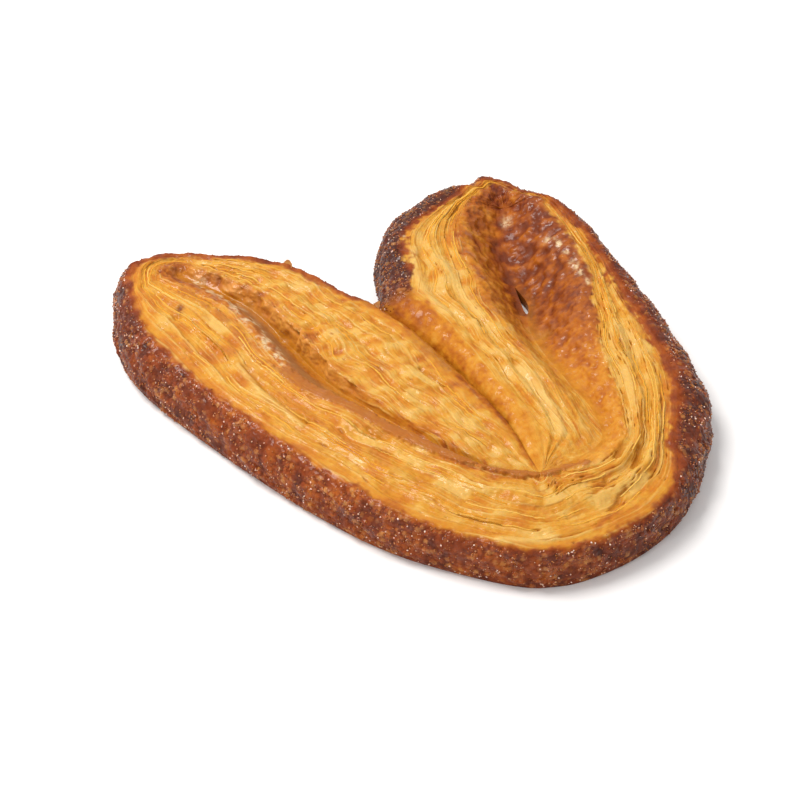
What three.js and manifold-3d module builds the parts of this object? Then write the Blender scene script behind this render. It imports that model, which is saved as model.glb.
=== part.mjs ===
// A palmier: one band of flaky dough folded in from both sides and baked into a lopsided heart.
// It lies on its flat underside. Millimetres, +Z up, the tip towards -Y, the origin in the middle
// of the underside's bounding box.
import * as THREE from 'three';
import { mergeVertices } from 'three/addons/utils/BufferGeometryUtils.js';
import Module from 'manifold-3d';

// Driving dimensions
// A place along the folded band is counted in legs: 0 to 1 is the left inner leg, from the point
// where all layers meet up to the left lobe's end, 1 to 2 the turn round that end, 2 to 3 the left
// outer leg down to the tip, 3 to 4 the turn round the tip, 4 to 5 the right outer leg, 5 to 6 the
// turn round the right lobe's end, and 6 to 7 the right inner leg back to the point.
const LEFT_END = 1;
const LEFT_TOP = 2;
const TIP_LEFT = 3;
const TIP_RIGHT = 4;
const RIGHT_END = 5;
const RIGHT_TOP = 6;
const BAND_END = 7;
const NOTCH = 0.68;             // share of an inner leg that lies against the other lobe
const POINT = [2.4, -47.6, 11]; // where the inner layers run together

// The widest line of the crust: leg, x, y
const OUTLINE = [
  [NOTCH, -2.2, 28.8], [0.74, -6, 34.4], [0.82, -9.8, 44.4], [0.9, -16, 55], [1, -29.4, 66.4],
  [1.25, -38.2, 72.6], [1.5, -47.2, 74.4], [1.75, -57, 70.4], [2, -63.8, 58], [2.15, -66.6, 45.2],
  [2.3, -65.4, 31], [2.5, -57, 0.8], [2.7, -47, -27.4], [2.85, -36.1, -48.3], [3, -19.4, -67.6],
  [3.25, -7.6, -74.8], [3.5, 4.8, -76.2], [3.75, 18.2, -74.2], [4, 31.6, -68.4], [4.15, 43.4, -58.2],
  [4.3, 55.2, -41.8], [4.5, 61.8, -15], [4.7, 64.4, 12.2], [4.85, 65.6, 32.2], [5, 63.4, 45.8],
  [5.2, 58.6, 56], [5.35, 54, 63.4], [5.47, 48.6, 66.2], [5.56, 44, 64.2], [5.66, 37.6, 66.4],
  [5.8, 29.6, 66], [6, 17.2, 60.6], [6.1, 11, 53], [6.2, 6.2, 44.4], [6.27, 2.8, 37],
  [BAND_END - NOTCH, -2.2, 28.8],
];
// The bottom of the groove between the two lobes: share of the inner leg, x, y, z
const SEAM = [
  [0, ...POINT], [0.2, 5.2, -27, 9.8], [0.35, 4.8, -12, 8.6], [0.5, 3.6, 3, 7.4],
  [0.6, 1.8, 14, 6.4], [NOTCH, -2.2, 28.8, 4.4],
];
// The bottom of each lobe's inner fold: share of the leg, x, y, z
const LEFT_FOLD = [
  [0, ...POINT], [0.12, -8.6, -39.2, 11.2], [0.3, -18.8, -18.8, 11.4], [0.42, -23.4, -5.6, 10.8],
  [0.54, -26.6, 8.4, 9.4], [0.7, -28.4, 28, 8.8], [0.82, -30.8, 42.6, 10], [0.92, -36.4, 54.2, 11.2],
  [1, -42, 62.2, 12.2],
];
const RIGHT_FOLD = [
  [0, ...POINT], [0.05, 8.6, -47.8, 11], [0.15, 20.4, -45.4, 11.2], [0.21, 24.4, -39.4, 10.8],
  [0.3, 26.6, -29.6, 10], [0.4, 27.8, -16.6, 8.6], [0.5, 29.2, -4.6, 7], [0.6, 32.2, 7.6, 5],
  [0.7, 37.4, 19, 3.4], [0.8, 39.8, 31, 3.8], [0.9, 43.8, 43.2, 6.8], [1, 50, 52, 10],
];
// How far the pale cut layers start inside the widest line, and how high that rim stands
const CRUST_INSET = [
  [0, 1], [0.17, 2.6], [0.35, 4.4], [0.6, 3.6], [0.8, 2], [1, 2], [1.5, 2.8], [1.75, 3.6], [2, 6],
  [2.26, 7], [2.42, 5.6], [2.7, 4.8], [2.85, 3.2], [3, 2.2], [3.5, 2.2], [3.9, 2.6], [4.05, 4.6],
  [4.18, 9], [4.35, 8.4], [4.55, 7.6], [4.75, 5.4], [4.9, 4.4], [5.1, 5.8], [5.3, 4.8], [5.5, 4.2],
  [5.62, 5.4], [5.72, 9], [5.85, 13], [6, 14.4], [6.08, 9], [6.16, 7], [6.3, 9.8], [6.4, 8],
  [6.5, 6.2], [6.7, 5.6], [6.84, 5.4], [7, 2],
];
const RIM_HEIGHT = [
  [0, 10.8], [0.17, 12.4], [0.34, 13.2], [0.6, 13.8], [0.85, 13.4], [1, 13.9], [1.5, 14.8], [2, 14.8],
  [2.3, 14.4], [2.5, 14], [2.7, 13.4], [3, 12.2], [3.5, 11.8], [4, 12.2], [4.3, 13], [4.7, 14],
  [5.2, 14.2], [5.5, 14.5], [5.9, 14], [6.3, 14], [6.7, 13.2], [7, 10.8],
];
// The height of the crust's widest line
const BELLY_HEIGHT = [
  [NOTCH, 4], [1.2, 7], [2, 4.5], [2.5, 4], [3, 4.5], [3.5, 5], [4.3, 6], [5, 7], [5.6, 7],
  [BAND_END - NOTCH, 4],
];
// How far the crest beside a fold stands from its bottom line, and how high
const CREST_OFFSET = [
  [0, 0.8], [0.2, 1.4], [0.6, 1.8], [0.85, 2.4], [1.1, 4], [1.5, 4.6], [1.9, 6], [2.1, 7.4],
  [2.25, 8.2], [2.5, 9], [2.6, 5.8], [2.72, 4], [2.9, 4], [3.05, 5], [3.5, 3.6], [3.85, 5.2],
  [4.03, 9.6], [4.12, 7], [4.2, 5.8], [4.31, 7.8], [4.45, 12], [4.56, 15.8], [4.75, 17], [4.9, 16],
  [5.1, 9], [5.4, 7], [5.7, 7.4], [5.9, 9.2], [6.02, 10.6], [6.12, 12.4], [6.34, 13], [6.45, 9.2],
  [6.6, 7.4], [6.82, 7.4], [6.92, 5], [7, 0.8],
];
const CREST_HEIGHT = [
  [0, 11], [0.2, 13], [0.5, 14], [1, 14.4], [1.5, 14.8], [2, 15], [2.5, 15.2], [2.8, 14.4],
  [3.1, 13.4], [3.9, 13], [4.3, 13.4], [4.7, 14], [5.2, 14.2], [6, 13.8], [6.5, 13.6], [6.8, 12.6],
  [7, 11],
];
// How high the bundles of cut layers stand over the grooves between them
const LAYER_RELIEF = [
  [0, 0.3], [0.6, 0.5], [1, 0.35], [2, 0.35], [3, 0.45], [3.7, 0.7], [4.1, 0.9], [4.4, 0.6],
  [5, 0.35], [6, 0.35], [6.4, 0.6], [7, 0.3],
];
// Loose sheets that curl up from the cut layers: leg, share of the band's width, half length in
// legs, half width as a share, lift
const CURLS = [
  [0.22, 0.62, 0.07, 0.18, 0.8], [0.42, 0.5, 0.08, 0.2, 1], [0.62, 0.66, 0.06, 0.16, 0.8],
  [2.3, 0.78, 0.1, 0.16, 0.6], [2.62, 0.72, 0.08, 0.18, 0.7], [4.06, 0.35, 0.1, 0.2, 1],
  [4.28, 0.5, 0.06, 0.2, 0.8], [6.28, 0.55, 0.07, 0.22, 0.9], [6.56, 0.45, 0.06, 0.2, 0.9],
];
const FOOT_INSET = 1.2;         // the crust curls under by this much before it meets the table
const FOOT_FADE = 0.06;         // legs over which that curl dies away at the notch
const UNDERCUT_INSET = 0.2;     // how far the wall's lowest row stays inside the widest line
const UNDERCUT_SHARE = 0.35;    // and how high it is, as a share of the widest line's height
const EDGE_SHARE = 0.82;        // most of the band's width that crust and fold side take together
const SPREAD_WIDTH = 16;        // the band has its full relief where it is at least this wide
const LAYER_BUNDLES = 2.5;      // bundles of layers between rim and crest
const BUNDLE_DRIFT = 0.8;       // how fast the bundles wander across the band, in turns a leg
const CRUST_BUMP = 0.5;         // lumps of baked sugar and blistered dough
// The slit baked through the right fold's thin bottom: lower end, upper end, greatest width
const SLIT = { from: [37.3, 14.6], to: [39.8, 27], width: 2, fullest: 0.35, depth: 12 };

// How finely the surface is split
const SEAM_STEPS = 26;
const FREE_STEPS = 13;
const TURN_STEPS = [16, 32, 18];
const CRUST_ROWS = 7;
const WALL_ROWS = 2;
const BAND_ROWS = 10;
const FOLD_ROWS = 6;
const SLIT_STEPS = 10;
const MERGE_DISTANCE = 1e-3;
const QUARTER_TURN = Math.PI / 2;

const { clamp, lerp, smoothstep } = THREE.MathUtils;

// A smooth curve through keys of [place, value, ...]; a key's slope is that of its two neighbours
const slopeAt = (keys, k, column) => {
  const before = keys[Math.max(k - 1, 0)];
  const after = keys[Math.min(k + 1, keys.length - 1)];
  return (after[column] - before[column]) / (after[0] - before[0]);
};
const through = (keys, column = 1) => (place) => {
  let k = 0;
  while (k < keys.length - 2 && place > keys[k + 1][0]) k += 1;
  const span = keys[k + 1][0] - keys[k][0];
  const u = clamp((place - keys[k][0]) / span, 0, 1);
  const leave = u * (1 - u) * (1 - u) * span;
  const arrive = u * u * (u - 1) * span;
  return lerp(keys[k][column], keys[k + 1][column], u * u * (3 - 2 * u))
    + slopeAt(keys, k, column) * leave + slopeAt(keys, k + 1, column) * arrive;
};
const curve = (keys) => {
  const columns = [1, 2, 3].filter((column) => column < keys[0].length);
  const axes = columns.map((column) => through(keys, column));
  return (place) => new THREE.Vector3(...axes.map((axis) => axis(place)));
};

const outline = curve(OUTLINE);
const seam = curve(SEAM);
const leftFold = curve(LEFT_FOLD);
const rightFold = curve(RIGHT_FOLD);
const crustInset = through(CRUST_INSET);
const rimHeight = through(RIM_HEIGHT);
const bellyHeight = through(BELLY_HEIGHT);
const crestOffset = through(CREST_OFFSET);
const crestHeight = through(CREST_HEIGHT);
const layerRelief = through(LAYER_RELIEF);

const onSeam = (leg) => Math.min(leg, BAND_END - leg) < NOTCH - 1e-6;

// The bottom line of the fold that a place on the band turns its inner edge to
const foldBottom = (leg) => {
  if (leg <= LEFT_END) return leftFold(leg);
  if (leg <= LEFT_TOP) return leftFold(1);
  if (leg <= TIP_LEFT) return leftFold(TIP_LEFT - leg);
  if (leg <= TIP_RIGHT) return new THREE.Vector3(...POINT);
  if (leg <= RIGHT_END) return rightFold(leg - TIP_RIGHT);
  if (leg <= RIGHT_TOP) return rightFold(1);
  return rightFold(BAND_END - leg);
};

// Lumps of the crust, from a few waves along and up the wall that never line up
const LUMP_WAVES = [[41, 0.9, 0, 0.45], [23, -0.5, 1.3, 0.35], [67, 1.4, 0, 0.3]];
const lump = (leg, height) => LUMP_WAVES.reduce(
  (sum, [along, up, start, size]) => sum + Math.sin(leg * along + height * up + start) * size,
  0,
);

// A curled sheet swells slowly on its crust side and breaks off steeply on its fold side
const CURL_BREAK = 0.6;
const curl = (leg, share) => CURLS.reduce((lift, [place, middle, length, width, height]) => {
  const along = (leg - place) / length;
  const across = (share - middle) / width;
  if (Math.abs(along) > 1 || Math.abs(across) > 1) return lift;
  const profile = smoothstep(across, -1, CURL_BREAK) - smoothstep(across, CURL_BREAK, 1);
  return lift + height * Math.cos(along * QUARTER_TURN) ** 2 * profile;
}, 0);

// One cut across the band at a leg: points from the underside or the seam up over the crust, across
// the cut layers and down into the fold
const crossSection = (leg) => {
  const seamShare = Math.min(leg, BAND_END - leg);
  const bottom = foldBottom(leg);
  const edge = onSeam(leg) ? seam(seamShare) : outline(leg);
  const inward = new THREE.Vector3(bottom.x - edge.x, bottom.y - edge.y, 0);
  const width = inward.length();
  inward.normalize();
  const spread = Math.min(1, width / SPREAD_WIDTH);
  const room = Math.min(1, (width * EDGE_SHARE) / (crustInset(leg) + crestOffset(leg)));
  const inset = crustInset(leg) * room;
  const crest = width - crestOffset(leg) * room;
  const rim = lerp(POINT[2], rimHeight(leg), spread);
  const top = lerp(POINT[2], crestHeight(leg), spread);
  const points = [];
  const put = (across, z) => {
    points.push(new THREE.Vector3(edge.x, edge.y, z).addScaledVector(inward, across));
  };
  if (onSeam(leg)) {
    for (let row = 0; row < CRUST_ROWS; row += 1) {
      const turn = (row / CRUST_ROWS) * QUARTER_TURN;
      put(inset * (1 - Math.cos(turn)), lerp(edge.z, rim, Math.sin(turn)));
    }
  } else {
    const foot = FOOT_INSET * smoothstep(seamShare - NOTCH, 0, FOOT_FADE);
    const belly = bellyHeight(leg);
    put(foot, 0);
    put(foot * UNDERCUT_SHARE + UNDERCUT_INSET, belly * UNDERCUT_SHARE);
    for (let row = WALL_ROWS; row < CRUST_ROWS; row += 1) {
      const turn = ((row - WALL_ROWS) / (CRUST_ROWS - WALL_ROWS)) * QUARTER_TURN;
      const z = lerp(belly, rim, Math.sin(turn));
      put(inset * (1 - Math.cos(turn)) - CRUST_BUMP * lump(leg, z) * Math.cos(turn), z);
    }
  }
  for (let row = 0; row < BAND_ROWS; row += 1) {
    const share = row / BAND_ROWS;
    const bundle = Math.sin((share * LAYER_BUNDLES + leg * BUNDLE_DRIFT) * Math.PI * 2);
    const relief = layerRelief(leg) * bundle * Math.sin(Math.PI * share) + curl(leg, share);
    put(lerp(inset, crest, share), lerp(rim, top, share) + spread * relief);
  }
  for (let row = 0; row <= FOLD_ROWS; row += 1) {
    const share = row / FOLD_ROWS;
    put(lerp(crest, width, share), lerp(bottom.z, top, 0.5 + 0.5 * Math.cos(Math.PI * share)));
  }
  return points;
};

// The legs at which the band is cut across
const stations = () => {
  const steps = (from, to, count) => Array.from({ length: count }, (_, i) => lerp(from, to, i / count));
  const inner = [...steps(0, NOTCH, SEAM_STEPS), ...steps(NOTCH, 1, FREE_STEPS)];
  const outward = [...steps(0, 1 - NOTCH, FREE_STEPS), ...steps(1 - NOTCH, 1, SEAM_STEPS)];
  return [
    ...inner,
    ...steps(LEFT_END, LEFT_TOP, TURN_STEPS[0]),
    ...outward.map((share) => LEFT_TOP + share),
    ...steps(TIP_LEFT, TIP_RIGHT, TURN_STEPS[1]),
    ...inner.map((share) => TIP_RIGHT + share),
    ...steps(RIGHT_END, RIGHT_TOP, TURN_STEPS[2]),
    ...outward.map((share) => RIGHT_TOP + share),
    BAND_END,
  ];
};

// Faces whose corners fell together, where the rows meet in one point, are left out
const wholeFaces = (geometry) => {
  const kept = [];
  for (let t = 0; t < geometry.index.count; t += 3) {
    const corners = Array.from(geometry.index.array.slice(t, t + 3));
    if (new Set(corners).size === 3) kept.push(...corners);
  }
  geometry.setIndex(kept);
  return geometry;
};

// The whole skin: the folded band, and the flat underside inside its foot
const bandGeometry = () => {
  const legs = stations();
  const cuts = legs.map(crossSection);
  const rows = cuts[0].length;
  const index = [];
  const at = (station, row) => station * rows + row;
  for (let i = 0; i + 1 < cuts.length; i += 1) {
    for (let j = 0; j + 1 < rows; j += 1) {
      index.push(at(i, j), at(i + 1, j), at(i + 1, j + 1), at(i, j), at(i + 1, j + 1), at(i, j + 1));
    }
  }
  const feet = legs.map((leg, i) => i).filter((i) => !onSeam(legs[i])).slice(0, -1);
  const ring = feet.map((i) => new THREE.Vector2(cuts[i][0].x, cuts[i][0].y));
  for (const [a, b, c] of THREE.ShapeUtils.triangulateShape(ring, [])) {
    index.push(at(feet[c], 0), at(feet[b], 0), at(feet[a], 0));
  }
  const corners = cuts.flat().flatMap((point) => point.toArray());
  const geometry = new THREE.BufferGeometry();
  geometry.setAttribute('position', new THREE.Float32BufferAttribute(corners, 3));
  geometry.setIndex(index);
  return wholeFaces(mergeVertices(geometry, MERGE_DISTANCE));
};

// A leaf-shaped prism along the slit, fullest near its lower end
const slitGeometry = () => {
  const start = new THREE.Vector2(...SLIT.from);
  const along = new THREE.Vector2(...SLIT.to).sub(start);
  const sideways = new THREE.Vector2(-along.y, along.x).normalize();
  const side = (share, sign) => {
    const warped = share ** (Math.log(0.5) / Math.log(SLIT.fullest));
    const half = (SLIT.width / 2) * Math.sin(Math.PI * warped);
    return start.clone().addScaledVector(along, share).addScaledVector(sideways, sign * half);
  };
  const shares = Array.from({ length: SLIT_STEPS }, (_, i) => i / SLIT_STEPS);
  const leaf = new THREE.Shape([
    ...shares.map((share) => side(share, -1)),
    ...shares.map((share) => side(1 - share, 1)),
  ]);
  const geometry = new THREE.ExtrudeGeometry(leaf, { depth: SLIT.depth, bevelEnabled: false });
  geometry.translate(0, 0, -SLIT.depth / 2);
  geometry.deleteAttribute('normal');
  geometry.deleteAttribute('uv');
  return mergeVertices(geometry, MERGE_DISTANCE);
};

const wasm = await Module();
wasm.setup();

const toManifold = (geometry) => new wasm.Manifold(new wasm.Mesh({
  numProp: 3,
  vertProperties: Float32Array.from(geometry.attributes.position.array),
  triVerts: Uint32Array.from(geometry.index.array),
}));
const toGeometry = (solid) => {
  const mesh = solid.getMesh();
  const geometry = new THREE.BufferGeometry();
  geometry.setAttribute('position', new THREE.BufferAttribute(mesh.vertProperties, 3));
  geometry.setIndex(new THREE.BufferAttribute(mesh.triVerts, 1));
  return geometry;
};

// The band with the slit cut out, centred over the origin
const palmierGeometry = () => {
  const geometry = toGeometry(toManifold(bandGeometry()).subtract(toManifold(slitGeometry())));
  geometry.computeBoundingBox();
  const { min, max } = geometry.boundingBox;
  geometry.translate(-(min.x + max.x) / 2, -(min.y + max.y) / 2, -min.z);
  geometry.computeVertexNormals();
  return geometry;
};

const bakedDough = new THREE.MeshStandardMaterial({ color: '#c98a3c', roughness: 0.55, metalness: 0 });
const palmier = new THREE.Mesh(palmierGeometry(), bakedDough);
palmier.name = 'palmier';

const group = new THREE.Group();
group.add(palmier);

export default group;
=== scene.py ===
import math

import bpy
import numpy as np
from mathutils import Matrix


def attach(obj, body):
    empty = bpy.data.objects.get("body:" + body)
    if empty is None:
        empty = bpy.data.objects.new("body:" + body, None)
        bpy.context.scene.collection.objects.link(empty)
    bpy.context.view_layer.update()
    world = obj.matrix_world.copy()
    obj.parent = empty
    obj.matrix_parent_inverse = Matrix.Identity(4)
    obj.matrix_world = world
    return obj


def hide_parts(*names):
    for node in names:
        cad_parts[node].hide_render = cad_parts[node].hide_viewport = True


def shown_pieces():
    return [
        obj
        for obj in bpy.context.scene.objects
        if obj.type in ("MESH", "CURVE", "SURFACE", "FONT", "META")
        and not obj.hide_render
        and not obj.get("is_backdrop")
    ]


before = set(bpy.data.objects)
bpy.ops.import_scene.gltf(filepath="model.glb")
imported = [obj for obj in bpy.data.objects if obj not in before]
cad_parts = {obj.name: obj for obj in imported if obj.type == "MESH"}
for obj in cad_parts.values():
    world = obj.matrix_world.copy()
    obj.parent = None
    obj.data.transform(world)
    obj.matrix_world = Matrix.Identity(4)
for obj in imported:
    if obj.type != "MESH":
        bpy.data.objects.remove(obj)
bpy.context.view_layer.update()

# A palmier: one band of flaky dough folded in from both sides and baked into a lopsided heart.
# The tables below are in millimetres. A place along the band is counted in legs: 0 to 1 is the left
# inner leg, from the point where the layers meet up to the left lobe's end, 1 to 2 the turn round
# it, 2 to 3 the left outer leg down to the tip, 3 to 4 the turn round the tip, 4 to 5 the right
# outer leg, 5 to 6 the turn round the right lobe's end, and 6 to 7 the right inner leg.
MM = 0.001
SEED = 7
LEFT_END, LEFT_TOP, TIP_LEFT, TIP_RIGHT, RIGHT_END, RIGHT_TOP, BAND_END = 1, 2, 3, 4, 5, 6, 7
NOTCH = 0.68
POINT = [2.4, -47.6, 11]
MIDDLE = [0.441, 1.024, 0]      # brings the tables' middle over the frame's origin

OUTLINE = [
    [NOTCH, -2.2, 28.8], [0.74, -6, 34.4], [0.82, -9.8, 44.4], [0.9, -16, 55], [1, -29.4, 66.4],
    [1.25, -38.2, 72.6], [1.5, -47.2, 74.4], [1.75, -57, 70.4], [2, -63.8, 58], [2.15, -66.6, 45.2],
    [2.3, -65.4, 31], [2.5, -57, 0.8], [2.7, -47, -27.4], [2.85, -36.1, -48.3], [3, -19.4, -67.6],
    [3.25, -7.6, -74.8], [3.5, 4.8, -76.2], [3.75, 18.2, -74.2], [4, 31.6, -68.4], [4.15, 43.4, -58.2],
    [4.3, 55.2, -41.8], [4.5, 61.8, -15], [4.7, 64.4, 12.2], [4.85, 65.6, 32.2], [5, 63.4, 45.8],
    [5.2, 58.6, 56], [5.35, 54, 63.4], [5.47, 48.6, 66.2], [5.56, 44, 64.2], [5.66, 37.6, 66.4],
    [5.8, 29.6, 66], [6, 17.2, 60.6], [6.1, 11, 53], [6.2, 6.2, 44.4], [6.27, 2.8, 37],
    [BAND_END - NOTCH, -2.2, 28.8],
]
SEAM = [
    [0, *POINT], [0.2, 5.2, -27, 9.8], [0.35, 4.8, -12, 8.6], [0.5, 3.6, 3, 7.4],
    [0.6, 1.8, 14, 6.4], [NOTCH, -2.2, 28.8, 4.4],
]
LEFT_FOLD = [
    [0, *POINT], [0.12, -8.6, -39.2, 11.2], [0.3, -18.8, -18.8, 11.4], [0.42, -23.4, -5.6, 10.8],
    [0.54, -26.6, 8.4, 9.4], [0.7, -28.4, 28, 8.8], [0.82, -30.8, 42.6, 10], [0.92, -36.4, 54.2, 11.2],
    [1, -42, 62.2, 12.2],
]
RIGHT_FOLD = [
    [0, *POINT], [0.05, 8.6, -47.8, 11], [0.15, 20.4, -45.4, 11.2], [0.21, 24.4, -39.4, 10.8],
    [0.3, 26.6, -29.6, 10], [0.4, 27.8, -16.6, 8.6], [0.5, 29.2, -4.6, 7], [0.6, 32.2, 7.6, 5],
    [0.7, 37.4, 19, 3.4], [0.8, 39.8, 31, 3.8], [0.9, 43.8, 43.2, 6.8], [1, 50, 52, 10],
]
CRUST_INSET = [
    [0, 1], [0.17, 2.6], [0.35, 4.4], [0.6, 3.6], [0.8, 2], [1, 2], [1.5, 2.8], [1.75, 3.6], [2, 6],
    [2.26, 7], [2.42, 5.6], [2.7, 4.8], [2.85, 3.2], [3, 2.2], [3.5, 2.2], [3.9, 2.6], [4.05, 4.6],
    [4.18, 9], [4.35, 8.4], [4.55, 7.6], [4.75, 5.4], [4.9, 4.4], [5.1, 5.8], [5.3, 4.8], [5.5, 4.2],
    [5.62, 5.4], [5.72, 9], [5.85, 13], [6, 14.4], [6.08, 9], [6.16, 7], [6.3, 9.8], [6.4, 8],
    [6.5, 6.2], [6.7, 5.6], [6.84, 5.4], [7, 2],
]
RIM_HEIGHT = [
    [0, 10.8], [0.17, 12.4], [0.34, 13.2], [0.6, 13.8], [0.85, 13.4], [1, 13.9], [1.5, 14.8], [2, 14.8],
    [2.3, 14.4], [2.5, 14], [2.7, 13.4], [3, 12.2], [3.5, 11.8], [4, 12.2], [4.3, 13], [4.7, 14],
    [5.2, 14.2], [5.5, 14.5], [5.9, 14], [6.3, 14], [6.7, 13.2], [7, 10.8],
]
BELLY_HEIGHT = [
    [NOTCH, 4], [1.2, 7], [2, 4.5], [2.5, 4], [3, 4.5], [3.5, 5], [4.3, 6], [5, 7], [5.6, 7],
    [BAND_END - NOTCH, 4],
]
CREST_OFFSET = [
    [0, 0.8], [0.2, 1.4], [0.6, 1.8], [0.85, 2.4], [1.1, 4], [1.5, 4.6], [1.9, 6], [2.1, 7.4],
    [2.25, 8.2], [2.5, 9], [2.6, 5.8], [2.72, 4], [2.9, 4], [3.05, 5], [3.5, 3.6], [3.85, 5.2],
    [4.03, 9.6], [4.12, 7], [4.2, 5.8], [4.31, 7.8], [4.45, 12], [4.56, 15.8], [4.75, 17], [4.9, 16],
    [5.1, 9], [5.4, 7], [5.7, 7.4], [5.9, 9.2], [6.02, 10.6], [6.12, 12.4], [6.34, 13], [6.45, 9.2],
    [6.6, 7.4], [6.82, 7.4], [6.92, 5], [7, 0.8],
]
CREST_HEIGHT = [
    [0, 11], [0.2, 13], [0.5, 14], [1, 14.4], [1.5, 14.8], [2, 15], [2.5, 15.2], [2.8, 14.4],
    [3.1, 13.4], [3.9, 13], [4.3, 13.4], [4.7, 14], [5.2, 14.2], [6, 13.8], [6.5, 13.6], [6.8, 12.6],
    [7, 11],
]
LAYER_RELIEF = [
    [0, 0.3], [0.6, 0.5], [1, 0.35], [2, 0.35], [3, 0.45], [3.7, 0.7], [4.1, 0.9], [4.4, 0.6],
    [5, 0.35], [6, 0.35], [6.4, 0.6], [7, 0.3],
]
CURLS = [
    [0.22, 0.62, 0.07, 0.18, 0.8], [0.42, 0.5, 0.08, 0.2, 1], [0.62, 0.66, 0.06, 0.16, 0.8],
    [2.3, 0.78, 0.1, 0.16, 0.6], [2.62, 0.72, 0.08, 0.18, 0.7], [4.06, 0.35, 0.1, 0.2, 1],
    [4.28, 0.5, 0.06, 0.2, 0.8], [6.28, 0.55, 0.07, 0.22, 0.9], [6.56, 0.45, 0.06, 0.2, 0.9],
]
CURL_BREAK = 0.6
FOOT_INSET = 1.2
FOOT_FADE = 0.06
EDGE_SHARE = 0.82
SPREAD_WIDTH = 16
LAYER_BUNDLES = 2.5
BUNDLE_DRIFT = 0.8
CRUST_BUMP = 0.5
LUMP_WAVES = [[41, 0.9, 0, 0.45], [23, -0.5, 1.3, 0.35], [67, 1.4, 0, 0.3]]
SLIT = {"from": [37.3, 14.6], "to": [39.8, 27], "width": 2, "fullest": 0.35}
SEEN_SLIT = 0.8                 # baked syrup narrows it
HIGHEST = 15.3                  # bumps above this height are pressed to half

# How finely the surface is split
STATIONS = 1900
WALL_SHARE = 2 / 7              # rows of the crust below its widest line
CRUST_ROWS = 84
BAND_ROWS = 140
FOLD_ROWS = 44


def smooth(value, low, high):
    """Rises from 0 at low to 1 at high."""
    share = np.clip((value - low) / (high - low), 0, 1)
    return share * share * (3 - 2 * share)


def mixed(a, b, share):
    return a + (b - a) * share


def through(keys):
    """A smooth curve through keys of [place, value, ...]; a key's slope is that of its neighbours."""
    keys = np.array(keys, float)
    places, values = keys[:, 0], keys[:, 1:]
    order = np.arange(len(keys))
    before, after = np.maximum(order - 1, 0), np.minimum(order + 1, len(keys) - 1)
    slopes = (values[after] - values[before]) / (places[after] - places[before])[:, None]

    def at(place):
        place = np.asarray(place, float)
        k = np.clip(np.searchsorted(places, place) - 1, 0, len(keys) - 2)
        span = (places[k + 1] - places[k])[..., None]
        u = np.clip((place - places[k])[..., None] / span, 0, 1)
        eased = u * u * (3 - 2 * u)
        found = mixed(values[k], values[k + 1], eased)
        found = found + slopes[k] * u * (1 - u) ** 2 * span + slopes[k + 1] * u * u * (u - 1) * span
        return found[..., 0] if values.shape[1] == 1 else found

    return at


outline, seam, left_fold, right_fold = through(OUTLINE), through(SEAM), through(LEFT_FOLD), through(RIGHT_FOLD)
crust_inset, rim_height, belly_height = through(CRUST_INSET), through(RIM_HEIGHT), through(BELLY_HEIGHT)
crest_offset, crest_height = through(CREST_OFFSET), through(CREST_HEIGHT)
layer_relief = through(LAYER_RELIEF)


# Noise

def scrambled(cell, seed):
    """A fixed random integer for each whole-number place."""
    cell = cell.astype(np.int64).astype(np.uint32)
    mixed_up = cell[..., 0] * np.uint32(374761393) + cell[..., 1] * np.uint32(668265263)
    mixed_up = mixed_up + cell[..., 2] * np.uint32(2246822519) + np.uint32((seed * 3266489917) & 0xFFFFFFFF)
    mixed_up = (mixed_up ^ (mixed_up >> np.uint32(13))) * np.uint32(1274126177)
    return mixed_up ^ (mixed_up >> np.uint32(16))


def chance(cell, seed):
    """A fixed random number from 0 to 1 for each whole-number place."""
    return scrambled(cell, seed).astype(np.float64) / 4294967295.0


directions = np.random.default_rng(SEED).normal(size=(256, 3))
directions = directions / np.linalg.norm(directions, axis=1, keepdims=True)


def noise(places, seed):
    """Smooth noise of about -1 to 1 with features one unit wide."""
    cell = np.floor(places)
    inside = places - cell
    eased = inside ** 3 * (inside * (inside * 6 - 15) + 10)
    total = 0
    for corner in np.ndindex(2, 2, 2):
        corner = np.array(corner)
        push = directions[scrambled(cell + corner, seed) & 255]
        weight = np.prod(np.where(corner == 1, eased, 1 - eased), axis=-1)
        total = total + weight * np.sum(push * (inside - corner), axis=-1)
    return total * 1.5


def rough(places, seed, octaves=3):
    """Noise with finer and finer detail."""
    return sum(noise(places * 2 ** k, seed + k) * 0.5 ** k for k in range(octaves))


def pebbles(places, seed):
    """Grains packed one to a unit: 1 at a grain's middle, 0 in the creases, and a number of its own."""
    cell = np.floor(places)
    nearest = np.full(places.shape[:-1], 9.0)
    own = np.zeros(places.shape[:-1])
    for step in np.ndindex(3, 3, 3):
        other = cell + np.array(step) - 1
        jitter = np.stack([chance(other, seed + axis) for axis in range(3)], axis=-1)
        away = np.sum((other + 0.15 + 0.7 * jitter - places) ** 2, axis=-1)
        own = np.where(away < nearest, jitter[..., 0], own)
        nearest = np.minimum(nearest, away)
    return np.clip(1 - nearest, 0, 1), own


def plane(across, along, layer=0):
    """Places for noise on a flat map."""
    across, along = np.broadcast_arrays(np.asarray(across, float), np.asarray(along, float))
    return np.stack([across, along, np.zeros_like(across) + layer], axis=-1)


# The folded band

def fold_bottom(leg):
    share = np.select(
        [leg <= LEFT_END, leg <= LEFT_TOP, leg <= TIP_LEFT, leg <= TIP_RIGHT, leg <= RIGHT_END, leg <= RIGHT_TOP],
        [leg, 1, TIP_LEFT - leg, 0, leg - TIP_RIGHT, 1], BAND_END - leg,
    )
    return np.where((leg < (TIP_LEFT + TIP_RIGHT) / 2)[:, None], left_fold(share), right_fold(share))


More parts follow.
